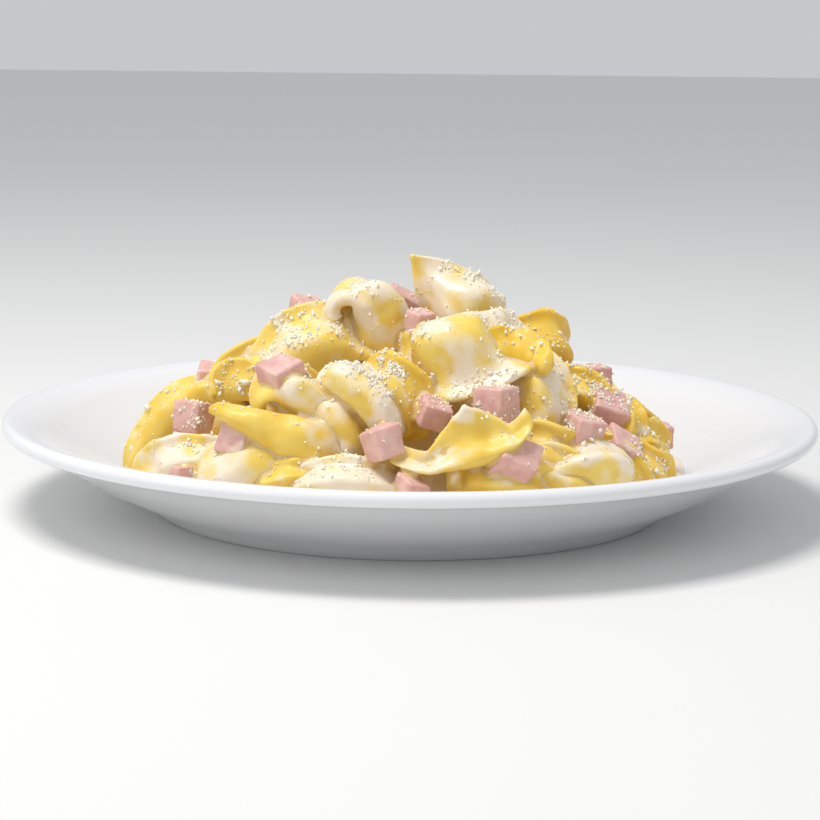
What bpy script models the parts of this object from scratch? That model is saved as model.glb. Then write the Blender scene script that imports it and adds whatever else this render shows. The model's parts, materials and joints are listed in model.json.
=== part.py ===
"""Tortellini in cream sauce with diced ham, heaped on a shallow white dinner plate.

Everything is in metres, +Z up, with the origin at the centre of the plate's foot.
Sizes below are in millimetres and are scaled by MM where they meet the scene.
The plate is turned from one outline.  Each tortellino is a folded disc of dough,
worked out from its fold length, width and filling, then bent round and set down in
its own place.  Pieces that would run into each other are cut back to a small gap.
"""

import math

import bmesh
import bpy
import numpy as np
from mathutils import Euler, Matrix, Vector

MM = 0.001
GAP = 0.3
CLEARANCE = 0.6  # that a piece grown by this cuts from its neighbours

# Plate
PLATE_RADIUS = 125.0
PLATE_HEIGHT = 29.1
LIP_THICKNESS = 4.5
FOOT_RADIUS = 78.9
FOOT_WIDTH = 4.4
FOOT_DEPTH = 3.6
WELL_RADIUS = 77.5
WELL_FLOOR = 7.2
PLATE_SIDES = 52

# Cream lying in the well, under the pasta
CREAM_LEVEL = 10.3
CREAM_RADIUS = 82.0
CREAM_SWELL = 2.0  # three broad bays of its edge
CREAM_RIPPLE = 1.2  # seven small ones
CREAM_SHIFT = 2.5  # further reach to the right
CREAM_SAG = 1.6  # how far its top falls away at the edge
CREAM_LIP = 0.35  # thickness left at the very edge
CREAM_SIDES = 26

# Pasta
DOUGH = 2.3
ARM_WIDTH = 5.5
STATIONS = 8
LOOP_POINTS = 8

# Inner mass of the heap, which shows only behind and between the pieces
HEAP_HALF_WIDTH = 84.0
HEAP_HALF_DEPTH = 74.0
HEAP_TOP = 66.0
HEAP_FRONT_SHARE = 0.52  # how far out it comes in front, as a share of the back
HEAP_FRONT_DROP = 6.0
HEAP_LUMP = 0.05  # unevenness, as a share of its width
HEAP_SIDES = 24
HEAP_RINGS = 7

HAM_EDGE_ROUNDING = 0.7

# One row for each tortellino: name, centre of its filling (x right, y away, z up, mm),
# how far it is rolled clockwise, turned and tipped back (degrees), and its own shape.
TORTELLINI = [
    ("top", (15.2, -8.5, 63.4), (-47, 10, 15),
     {"length": 28, "width": 31, "point": 1.0, "wrap": 0.5, "flare": 5,
      "curl": 12, "plump": 7, "belly": 0.65}),
    ("mid", (11.2, -45.5, 56.2), (165, 10, 0),
     {"length": 40, "width": 28, "point": 0.0, "wrap": 0.5, "flare": 28, "curl": 34,
      "belly": 0.42, "depth": 0.66, "plump": 10, "lift": 3}),
    ("crown", (-9.0, -22, 58.6), (5, 86, 80),
     {"length": 47, "width": 19, "point": 0.6, "wrap": 1.1, "flare": 0,
      "curl": 15, "belly": 0.48, "plump": 9.5, "arm": 1.8}),
    ("left_hi", (-32, -28, 50), (-30, -10, 50),
     {"length": 46, "width": 24, "point": 0.2, "wrap": 0.5, "flare": 15, "curl": 30,
      "plump": 8, "belly": 0.55, "depth": 0.7, "wave": 1.4}),
    ("rims", (30, -44.5, 53.4), (14, 172, 10),
     {"length": 25, "width": 12, "point": 0.2, "wrap": 0.42, "flare": 0, "curl": 30, "plump": 3.5}),
    ("right_hi", (41, -11.5, 50.3), (5, 20, 20),
     {"length": 30, "width": 18, "point": 0.3, "wrap": 0.7, "flare": 0, "curl": 30}),
    ("right", (36.5, -46.5, 38.5), (90, -12, 30),
     {"length": 38, "width": 21, "point": 0.1, "wrap": 0.5, "flare": 10,
      "curl": 45, "belly": 0.56, "depth": 0.78, "plump": 8.5}),
    ("banana", (-11.5, -59.5, 43), (52, -10, 45),
     {"length": 28, "width": 12, "point": 0.1, "wrap": 0.3, "flare": 20,
      "curl": 30, "belly": 0.85, "depth": 0.95, "plump": 6}),
    ("olive", (-3, -54, 40.5), (60, 10, 30),
     {"length": 26, "width": 16, "point": 0.2, "wrap": 0.5, "flare": 20,
      "curl": 45, "belly": 0.6, "plump": 7}),
    ("cheesy", (-27.5, -53.5, 34.8), (10, 78, 68),
     {"length": 43, "width": 16, "point": 0.1, "wrap": 0.95, "flare": 15,
      "curl": 40, "belly": 0.6, "plump": 8}),
    ("leaf", (-34.5, -63, 31.8), (31, 0, 10),
     {"length": 46, "width": 15, "point": 0.35, "wrap": 0.15, "flare": 0, "curl": 15,
      "plump": 3, "belly": 0.9, "depth": 0.9, "skew": -0.45, "arm": 0.6}),
    ("leaf_low", (-46, -59, 22.5), (-20, 0, 35),
     {"length": 38, "width": 20, "point": 0.1, "wrap": 0.5, "flare": 10,
      "curl": 20, "belly": 0.75, "depth": 0.85, "plump": 8}),
    ("sheet", (-51, -32.5, 41), (0, 180, 0),
     {"length": 17, "width": 13, "point": 0.0, "wrap": 0.3, "flare": 0,
      "curl": 20, "plump": 2.5, "wave": 0.3}),
    ("long", (-74.5, -17.5, 27.5), (-50, 0, 66),
     {"length": 58, "width": 15, "point": 0.1, "wrap": 0.4, "flare": 10,
      "curl": 20, "belly": 0.75, "plump": 4, "arm": 1.7}),
    ("low_left", (-62, -47, 20.5), (-5, 0, 35),
     {"length": 40, "width": 14, "point": 0.1, "wrap": 0.3, "flare": 10,
      "curl": 30, "belly": 0.5, "skew": 0.2, "plump": 6.5}),
    ("fold", (-34, -67, 20.5), (-10, 0, 30),
     {"length": 26, "width": 9, "point": 0.1, "wrap": 0.4, "flare": 10, "curl": 30, "plump": 4}),
    ("front", (-16, -72, 20), (2, 0, 35),
     {"length": 44, "width": 13, "point": 0.1, "wrap": 0.45, "flare": 10,
      "curl": 30, "belly": 0.7, "plump": 7}),
    ("boat", (16.2, -71, 26.6), (-14, 0, -14),
     {"length": 41, "width": 18.5, "point": 0.9, "span": 0.6, "wrap": 0.12, "flare": -12, "curl": 5,
      "belly": 1.0, "depth": 0.38, "plump": 7, "arm": 1.15, "skew": -0.17, "lift": 6}),
    ("low_leaf", (27, -69, 20.5), (5, 0, 20),
     {"length": 34, "width": 12, "point": 0.1, "wrap": 0.4}),
    ("pearl", (48.5, -58, 22.6), (-20, 0, 50),
     {"length": 31, "width": 16, "point": 0.1, "wrap": 0.45, "belly": 0.8, "depth": 0.9, "plump": 9.5}),
    ("neck", (38.5, -58, 25), (10, 0, 30),
     {"length": 32, "width": 17, "point": 0.1, "wrap": 0.5}),
    ("low_mid", (43, -61.5, 20), (15, 0, 30),
     {"length": 36, "width": 15, "point": 0.1, "wrap": 0.5, "belly": 0.6}),
    ("far_low", (60.5, -48.5, 19.5), (50, 0, 30),
     {"length": 28, "width": 13, "point": 0.1, "wrap": 0.4}),
    ("far_top", (65.5, -18.5, 28), (30, 0, 40),
     {"length": 31, "width": 13, "point": 0.1, "wrap": 0.5}),
    ("far_end", (67, -28, 24), (-10, 0, 30),
     {"length": 24, "width": 12, "point": 0.1, "wrap": 0.5}),
    ("far_foot", (68, -40, 19.5), (20, 0, 30),
     {"length": 24, "width": 12, "point": 0.1, "wrap": 0.5}),
    ("far_ridge", (63.5, -30, 27.5), (110, 0, 30),
     {"length": 22, "width": 11, "point": 0.1, "wrap": 0.5}),
    ("far_back", (53, -28.5, 37), (40, 0, 30),
     {"length": 26, "width": 13, "point": 0.1, "wrap": 0.5}),
    ("left_back", (-49, -20, 42.5), (-40, 0, 40),
     {"length": 30, "width": 15, "point": 0.1, "wrap": 0.5}),
    ("nook", (-19, -57, 31), (70, 0, 40),
     {"length": 30, "width": 15, "point": 0.1, "wrap": 0.4, "flare": 10,
      "curl": 30, "belly": 0.75, "depth": 0.85, "plump": 7}),
]

# One row for each dice of ham: number, centre (mm), turns about x, y and z (degrees), side (mm).
HAM = [
    (1, (-32, -1, 59), (20, 10, 30), 9),
    (2, (-4, -15, 64), (20, 30, 20), 9),
    (3, (2.5, -33, 61.5), (10, 0, 40), 6.5),
    (4, (-36.8, -53.5, 47.2), (10, -15, 40), 10.5),
    (5, (-61, -9.5, 40.5), (20, 10, 10), 8),
    (6, (-64, -33, 32), (0, 10, 60), 9.5),
    (7, (-48.5, -57.5, 30), (10, 10, 60), 9.5),
    (8, (-65, -50, 17.5), (0, 0, 30), 8),
    (9, (-7.5, -71, 32.2), (-10, -12, 33), 9),
    (10, (6.2, -58.5, 38.5), (20, 20, 20), 8),
    (11, (24.5, -59, 41.5), (0, 0, 55), 10),
    (12, (29.5, -70, 27), (40, 30, 10), 10.5),
    (13, (0, -74, 19), (20, 10, 40), 8),
    (14, (55, -11, 40.5), (0, 0, 20), 10),
    (15, (57.5, -30, 34.5), (30, 20, 20), 10.5),
    (16, (50, -51, 32.5), (10, 10, 30), 9.5),
    (17, (61, -43, 25), (30, 30, 20), 10.5),
    (18, (77, -3, 22.5), (10, 0, 20), 7.5),
]

SHAPE = {
    "length": 44.0,  # along the fold, tip to tip
    "width": 24.0,  # from the fold to the rim
    "wrap": 0.62,  # how far round the arms bend, in half turns
    "plump": 6.0,  # how far the filling swells the dough
    "flare": 10.0,  # lean of the dough away from the ring's axis, degrees
    "curl": 50.0,  # further lean at the rim, degrees
    "point": 0.3,  # 0 for a round rim, 1 for a pointed one
    "span": 1.0,  # share of the fold that the rim covers
    "belly": 0.56,  # share of the fold that the filling takes
    "depth": 0.62,  # share of the width that the filling takes
    "arm": 1.0,  # thickness of the arms
    "lift": 0.0,  # how far the tips rise, mm
    "skew": 0.0,  # shift of the rim towards one tip
    "wave": 0.8,  # waviness of the rim, mm
}


def ease(values, start, end):
    """Smooth step from 0 at start to 1 at end."""
    share = np.clip((values - start) / (end - start), 0, 1)
    return share * share * (3 - 2 * share)


def running_sum(values, step):
    """Trapezium-rule integral along the last axis, starting at 0."""
    middle = (values[..., 1:] + values[..., :-1]) / 2
    start = np.zeros(values.shape[:-1] + (1,))
    return np.concatenate([start, np.cumsum(middle, -1)], -1) * step


def dough_surface(shape, stations, loop_points):
    """Grid of points (stations, loop_points, 3) round a folded, filled and bent disc of dough.

    u runs along the fold from tip to tip, and each loop goes from the fold up the
    inner sheet to the rim and back down the outer sheet.
    """
    even = np.linspace(-1, 1, stations)
    u = 0.75 * even + 0.25 * np.sin(even * math.pi / 2)

    # The fold line bends round in plan.
    fine = np.linspace(-1, 1, 401)
    heading = shape["wrap"] * math.pi * (0.6 * fine + 0.4 * fine * np.abs(fine))
    step = shape["length"] / 2 * (fine[1] - fine[0])
    line_x = running_sum(np.cos(heading), step)
    line_y = running_sum(np.sin(heading), step)
    middle = len(fine) // 2
    turn = np.interp(u, fine, heading)
    flat = np.zeros_like(u)
    fold = np.stack([np.interp(u, fine, line_x - line_x[middle]), np.interp(u, fine, line_y - line_y[middle]),
                     shape["lift"] * u**2], 1)
    outward = np.stack([np.sin(turn), -np.cos(turn), flat], 1)
    along = np.stack([np.cos(turn), np.sin(turn), flat], 1)
    up = np.array([0.0, 0.0, 1.0])

    # Tips of a closed ring pass one outside the other.
    if shape["wrap"] > 0.8:
        fold += outward * (np.sign(u) * ease(np.abs(u), 0.7, 1) * 1.4)[:, None]

    # Outline of the folded disc, from round to pointed.
    reach = np.clip(np.abs(u + shape["skew"] * (1 - u * u)) / shape["span"], 0, 1)
    round_rim = np.sqrt(np.clip(1 - reach**2.3, 0, 1))
    pointed_rim = (1 - reach) ** 0.9
    arm = ARM_WIDTH * shape["arm"]
    width = arm + (shape["width"] - arm) * ((1 - shape["point"]) * round_rim + shape["point"] * pointed_rim)

    phase = 2 * math.pi * np.arange(loop_points) / loop_points
    v = (1 - np.cos(phase)) / 2
    v = v - 0.05 * np.sin(2 * math.pi * v)
    outer = phase < math.pi
    v_grid, u_grid = np.meshgrid(v, u)
    width_grid = width[:, None]

    # Thickness: two sheets of dough, the pillow of filling between them, and rolled arms.
    half = DOUGH / 2
    middle_v = shape["depth"] / 2
    pillow_u = np.clip(1 - np.abs(u_grid / shape["belly"]) ** 3, 0, 1) ** 0.5
    pillow_v = np.clip(1 - np.abs((v_grid - 0.92 * middle_v) / (1.08 * middle_v)) ** 2.8, 0, 1) ** 0.5
    rolled = np.clip(1 - ((v_grid * width_grid - 2.6) / 3.2) ** 2, 0, 1) * ease(np.abs(u_grid), 0.25, 0.7)
    rolled = rolled * half * 0.9 * shape["arm"]
    swell = shape["plump"] * pillow_u * pillow_v
    thickness = np.where(outer, half + swell + rolled, -(half + 0.6 * swell + rolled))
    fold_round = np.minimum(np.abs(thickness) * 1.1 / width_grid, 0.4)
    rim_round = np.minimum(half * 1.2 / width_grid, 0.3)
    thickness *= np.sqrt(np.clip(1 - (1 - np.clip(v_grid / fold_round, 0, 1)) ** 2, 0, 1))
    thickness *= np.sqrt(np.clip(1 - (1 - np.clip((1 - v_grid) / rim_round, 0, 1)) ** 2, 0, 1))
    thickness += shape["wave"] * np.sin(3 * math.pi * u_grid) * v_grid**2.5

    # The dough leans outwards more and more towards the rim.
    rise = np.linspace(0, 1, 50)
    lean = np.radians(shape["flare"] + shape["curl"] * rise**2)
    out_rise = np.interp(v, rise, running_sum(np.sin(lean), rise[1]))
    up_rise = np.interp(v, rise, running_sum(np.cos(lean), rise[1]))
    tilt = np.radians(shape["flare"] + shape["curl"] * v**2)
    out = out_rise * width_grid + thickness * np.cos(tilt)
    high = up_rise * width_grid - thickness * np.sin(tilt)
    points = fold[:, None] + outward[:, None] * out[..., None] + up * high[..., None]
    points = points[:, ::-1]

    filling = points[stations // 2][np.abs(v[::-1] - middle_v) < 0.2].mean(0)
    caps = np.stack([points[0].mean(0) - along[0] * DOUGH * 0.6, points[-1].mean(0) + along[-1] * DOUGH * 0.6])
    return points - filling, caps - filling


def dough_faces(stations, loop_points):
    """Quads along the grid, and a fan of triangles at each tip."""
    faces = []
    first_cap = stations * loop_points
    last_loop = first_cap - loop_points
    for j in range(loop_points):
        following = (j + 1) % loop_points
        for i in range(stations - 1):
            low, high = i * loop_points, (i + 1) * loop_points
            faces.append((low + j, low + following, high + following, high + j))
        faces.append((first_cap, following, j))
        faces.append((first_cap + 1, last_loop + j, last_loop + following))
    return faces


def material(name, colour, roughness):
    made = bpy.data.materials.new(name)
    made.use_nodes = True
    shader = made.node_tree.nodes["Principled BSDF"]
    shader.inputs["Base Color"].default_value = (*colour, 1)
    shader.inputs["Roughness"].default_value = roughness
    return made


def add_object(name, mesh, finish, smooth=True):
    mesh.materials.append(finish)
    if smooth:
        mesh.shade_smooth()
    added = bpy.data.objects.new(name, mesh)
    bpy.context.collection.objects.link(added)
    return added


def triangulated(made, name):
    """Mesh with flat faces only, so that a piece and the cutter made from it have the same surface."""
    bmesh.ops.triangulate(made, faces=made.faces)
    mesh = bpy.data.meshes.new(name)
    made.to_mesh(mesh)
    made.free()
    return mesh


def mesh_from(name, points, faces):
    made = bmesh.new()
    corners = [made.verts.new(point) for point in np.asarray(points) * MM]
    for face in faces:
        made.faces.new([corners[index] for index in face])
    return triangulated(made, name)


def turned(name, outline, sides):
    """Solid of revolution about Z of an outline of (radius, height) that starts and ends on the axis."""
    made = bmesh.new()
    ring = [made.verts.new((radius * MM, 0, height * MM)) for radius, height in outline]
    edges = [made.edges.new(pair) for pair in zip(ring, ring[1:])]
    bmesh.ops.spin(made, geom=ring + edges, cent=(0, 0, 0), axis=(0, 0, 1), angle=2 * math.pi, steps=sides,
                   use_merge=True)
    bmesh.ops.remove_doubles(made, verts=made.verts, dist=1e-7)
    bmesh.ops.recalc_face_normals(made, faces=made.faces)
    return triangulated(made, name)


def inner_outline():
    """Upper surface of the plate, from the inside of the lip to the middle."""
    return [(PLATE_RADIUS - 6.2, PLATE_HEIGHT - 0.9), (PLATE_RADIUS - 11.9, PLATE_HEIGHT - 2.9),
            (PLATE_RADIUS - 14.1, PLATE_HEIGHT - 4.3), (100.0, 17.5), (87.5, 11.0), (WELL_RADIUS, 8.2),
            (62.0, 7.4), (0.0, WELL_FLOOR)]


def plate_outline():
    """Whole outline of the plate, from under its middle, round the foot and lip, back to the middle."""
    foot_inside = FOOT_RADIUS - FOOT_WIDTH
    under = [(0.0, FOOT_DEPTH), (foot_inside - 4, FOOT_DEPTH), (foot_inside, 0.0), (FOOT_RADIUS, 0.0),
             (86.8, 5.8), (99.9, 12.1), (110.9, 19.0), (116.3, 21.5)]
    lip_radius = LIP_THICKNESS / 2
    centre = (PLATE_RADIUS - lip_radius, PLATE_HEIGHT - lip_radius)
    angles = [math.radians(a) for a in range(-90, 91, 45)]
    lip = [(centre[0] + lip_radius * math.cos(a), centre[1] + lip_radius * math.sin(a)) for a in angles]
    return under + lip + inner_outline()


def ground():
    """Block under everything that rests on the plate: the plate's upper surface and the cream, plus the gap."""
    slope = [(radius, max(height, CREAM_LEVEL) + GAP) for radius, height in inner_outline()]
    return turned("ground", [(0, -60), (PLATE_RADIUS + 10, -60), (PLATE_RADIUS + 10, PLATE_HEIGHT + 5)] + slope, 48)


def well_height(radius):
    slope = sorted(inner_outline())
    return np.interp(radius, [r for r, _ in slope], [z for _, z in slope])


def cream_mesh():
    """Pool with a wavy edge; its under side follows the plate and its top falls away at the edge."""
    around = 2 * math.pi * np.arange(CREAM_SIDES) / CREAM_SIDES
    edge = CREAM_RADIUS + CREAM_SWELL * np.sin(3 * around + 0.6) + CREAM_RIPPLE * np.sin(7 * around)
    edge += CREAM_SHIFT * np.cos(around)
    shares = [0.55, 0.9, 0.975]
    rings = []
    for share in shares:
        rings.append((share, np.full(CREAM_SIDES, CREAM_LEVEL) - CREAM_SAG * share**24))
    rings.append((1.0, well_height(edge) + GAP + CREAM_LIP))
    for share in reversed(shares):
        rings.append((share, well_height(edge * share) + GAP))
    points = []
    for share, height in rings:
        for angle, radius, z in zip(around, edge * share, height):
            points.append((radius * math.cos(angle), radius * math.sin(angle), z))
    faces = []
    for ring in range(len(rings) - 1):
        low = ring * CREAM_SIDES
        for j in range(CREAM_SIDES):
            following = (j + 1) % CREAM_SIDES
            faces.append((low + j, low + CREAM_SIDES + j, low + CREAM_SIDES + following, low + following))
    top, bottom = len(points), len(points) + 1
    points += [(0, 0, CREAM_LEVEL), (0, 0, WELL_FLOOR + GAP)]
    last = (len(rings) - 1) * CREAM_SIDES
    for j in range(CREAM_SIDES):
        following = (j + 1) % CREAM_SIDES
        faces.append((top, j, following))
        faces.append((bottom, last + following, last + j))
    return mesh_from("cream_sauce", points, faces)


def heap_mesh():
    """Lumpy mound: well inside the front pieces, and out to the heap's uneven outline behind."""
    points, faces = [], []
    for ring in range(HEAP_RINGS):
        climb = ring / (HEAP_RINGS - 0.4) * math.pi / 2
        for j in range(HEAP_SIDES):
            angle = 2 * math.pi * j / HEAP_SIDES
            behind = ease(np.array(math.sin(angle)), -0.25, 0.75)
            lump = 1 + HEAP_LUMP * math.sin(5 * angle + 2.1 * ring) * math.sin(3 * climb + angle)
            reach = HEAP_FRONT_SHARE + (1 - HEAP_FRONT_SHARE) * behind
            spread = math.cos(climb) ** 0.8 * lump * reach
            height = CREAM_LEVEL + GAP + (HEAP_TOP - CREAM_LEVEL) * math.sin(climb) ** 1.15
            height -= HEAP_FRONT_DROP * (1 - behind) * math.sin(climb)
            points.append((HEAP_HALF_WIDTH * spread * math.cos(angle), HEAP_HALF_DEPTH * spread * math.sin(angle),
                           height))
    for ring in range(HEAP_RINGS - 1):
        low = ring * HEAP_SIDES
        for j in range(HEAP_SIDES):
            following = (j + 1) % HEAP_SIDES
            faces.append((low + j, low + following, low + HEAP_SIDES + following, low + HEAP_SIDES + j))
    faces.append(tuple(range((HEAP_RINGS - 1) * HEAP_SIDES, HEAP_RINGS * HEAP_SIDES)))
    faces.append(tuple(reversed(range(HEAP_SIDES))))
    return mesh_from("heap_core", points, faces)


def dice_mesh(name, side, seed):
    """Knife-cut dice: a cube whose corners are a little out, with softened edges."""
    spread = np.random.default_rng(seed)
    made = bmesh.new()
    bmesh.ops.create_cube(made, size=side * MM)
    for corner in made.verts:
        corner.co += Vector(spread.uniform(-0.06, 0.06, 3) * side * MM)
    bmesh.ops.bevel(made, geom=list(made.edges), offset=HAM_EDGE_ROUNDING * MM, segments=1, affect="EDGES")
    return triangulated(made, name)


def place(mesh, centre, turns, order):
    """Moves the mesh's own points to their place, so that the object stays at the origin."""
    turn = Euler([math.radians(a) for a in turns], order).to_matrix().to_4x4()
    mesh.transform(Matrix.Translation(Vector(centre) * MM) @ turn)
    mesh.update()


def box_of(mesh):
    points = np.empty(len(mesh.vertices) * 3, np.float32)
    mesh.vertices.foreach_get("co", points)
    points = points.reshape(-1, 3)
    return points.min(0), points.max(0)


def near(first, second):
    return bool((first[0] < second[1]).all() and (second[0] < first[1]).all())


def cutter_from(name, mesh):
    """Hidden copy of a piece, grown by the clearance, that cuts its neighbours back."""
    grown = mesh.copy()
    grown.name = name
    normals = [vertex.normal.copy() for vertex in grown.vertices]
    for vertex, normal in zip(grown.vertices, normals):
        vertex.co += normal * CLEARANCE * MM
    cutter = bpy.data.objects.new(name, grown)
    bpy.context.collection.objects.link(cutter)
    cutter.hide_render = True
    cutter.display_type = "WIRE"
    return cutter


def largest_island(mesh):
    """Keeps only the biggest closed body of a mesh that its neighbours have cut apart."""
    made = bmesh.new()
    made.from_mesh(mesh)
    bmesh.ops.remove_doubles(made, verts=made.verts, dist=1e-6)
    bmesh.ops.triangulate(made, faces=made.faces)
    unseen, islands = set(made.faces), []
    while unseen:
        stack = [unseen.pop()]
        island = []
        while stack:
            face = stack.pop()
            island.append(face)
            for edge in face.edges:
                for other in edge.link_faces:
                    if other in unseen:
                        unseen.remove(other)
                        stack.append(other)
        islands.append(island)

    def volume(island):
        return abs(sum(f.verts[0].co.dot(f.verts[1].co.cross(f.verts[2].co)) for f in island))

    keep = max(islands, key=volume)
    dropped = [face for island in islands if island is not keep for face in island]
    bmesh.ops.delete(made, geom=dropped, context="FACES")
    loose = [vertex for vertex in made.verts if not vertex.link_faces]
    bmesh.ops.delete(made, geom=loose, context="VERTS")
    made.to_mesh(mesh)
    made.free()


def cut_back(piece, cutters):
    """Cuts the piece by every earlier piece that its box meets, then keeps its main body."""
    own_box = box_of(piece.data)
    for cutter in cutters:
        if not near(own_box, box_of(cutter.data)):
            continue
        cut = piece.modifiers.new(cutter.name, "BOOLEAN")
        cut.operation = "DIFFERENCE"
        cut.object = cutter
    bpy.context.view_layer.update()
    evaluated = piece.evaluated_get(bpy.context.evaluated_depsgraph_get())
    result = bpy.data.meshes.new_from_object(evaluated)
    piece.modifiers.clear()
    largest_island(result)
    result.name = piece.name
    piece.data = result


def main():
    for old in list(bpy.data.objects):
        bpy.data.objects.remove(old)
    porcelain = material("porcelain", (0.86, 0.86, 0.87), 0.12)
    cream = material("cream", (0.86, 0.78, 0.66), 0.35)
    pasta = material("egg_pasta", (0.83, 0.60, 0.16), 0.40)
    ham = material("cooked_ham", (0.74, 0.38, 0.34), 0.45)

    add_object("plate", turned("plate", plate_outline(), PLATE_SIDES), porcelain)
    add_object("cream_sauce", cream_mesh(), cream)

    cutters = [cutter_from("ground_cutter", ground())]
    for number, centre, turns, side in HAM:
        name = f"ham_cube_{number:02d}"
        mesh = dice_mesh(name, side, number)
        place(mesh, centre, turns, "XYZ")
        piece = add_object(name, mesh, ham, smooth=False)
        cut_back(piece, cutters)
        cutters.append(cutter_from(name + "_cutter", piece.data))
    faces = dough_faces(STATIONS, LOOP_POINTS)
    for name, centre, (roll, turn, tip), own in TORTELLINI:
        points, caps = dough_surface({**SHAPE, **own}, STATIONS, LOOP_POINTS)
        mesh = mesh_from(name, np.vstack([points.reshape(-1, 3), caps]), faces)
        place(mesh, centre, (-tip, roll, turn), "ZXY")
        piece = add_object("tortellino_" + name, mesh, pasta)
        whole = mesh.copy()
        cut_back(piece, cutters)
        cutters.append(cutter_from(name + "_cutter", whole))
    core = add_object("heap_core", heap_mesh(), pasta)
    cut_back(core, cutters)


main()
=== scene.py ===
import itertools
import json
import math

import bmesh
import bpy
import numpy as np
from bpy.props import FloatProperty, FloatVectorProperty, IntProperty, PointerProperty
from mathutils import Euler, Matrix, Vector
from mathutils.bvhtree import BVHTree

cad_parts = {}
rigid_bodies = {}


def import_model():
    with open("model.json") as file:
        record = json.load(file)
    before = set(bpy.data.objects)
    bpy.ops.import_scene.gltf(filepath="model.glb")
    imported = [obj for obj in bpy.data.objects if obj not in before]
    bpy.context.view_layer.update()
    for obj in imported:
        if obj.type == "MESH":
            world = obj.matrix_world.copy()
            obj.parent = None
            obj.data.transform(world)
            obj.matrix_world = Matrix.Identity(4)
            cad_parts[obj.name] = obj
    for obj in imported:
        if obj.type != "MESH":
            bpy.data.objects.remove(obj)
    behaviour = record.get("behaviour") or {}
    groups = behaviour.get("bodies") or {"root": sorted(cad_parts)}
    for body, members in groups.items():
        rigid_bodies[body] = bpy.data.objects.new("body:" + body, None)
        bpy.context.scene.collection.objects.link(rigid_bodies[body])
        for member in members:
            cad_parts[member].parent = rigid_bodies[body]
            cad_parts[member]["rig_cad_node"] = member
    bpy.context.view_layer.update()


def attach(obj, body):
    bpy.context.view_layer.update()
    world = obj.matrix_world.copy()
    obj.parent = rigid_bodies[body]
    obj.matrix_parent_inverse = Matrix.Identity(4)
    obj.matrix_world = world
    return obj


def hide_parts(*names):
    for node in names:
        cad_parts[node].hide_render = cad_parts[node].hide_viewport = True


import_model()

# Looks of a plate of tortellini in cream with diced ham and grated hard cheese.
# Lengths in the tables are millimetres; MM takes them to metres.

bl_info = {
    "name": "Plate of tortellini",
    "version": (1, 0, 0),
    "blender": (4, 5, 0),
    "location": "View3D > Sidebar > Tortellini",
    "description": "Builds the plate, the pasta, the ham, the cream and the cheese",
    "category": "Object",
}

MM = 0.001

# Turned outline of the plate: (radius, height) up the outside, over the lip and down to the middle.
PLATE_UNDER = [(0, 3.6), (70.5, 3.6), (73.2, 2.9), (74.6, 0.7), (75.4, 0.05), (77.9, 0), (78.8, 0.5),
               (80.4, 1.9), (86.8, 5.8), (99.9, 12.1), (110.9, 19.0), (116.3, 21.5), (120.4, 23.6)]
PLATE_LIP = (122.75, 26.85, 2.25)  # radius and height of the lip's centre, and its own radius
PLATE_INSIDE = [(119.9, 28.6), (116.6, 27.6), (113.1, 26.2), (110.4, 24.5), (106.0, 21.4), (100.0, 17.5),
                (93.5, 13.9), (87.5, 11.0), (82.4, 9.2), (77.5, 8.2), (70, 7.7), (62, 7.4), (30, 7.2),
                (0, 7.2)]

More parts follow.
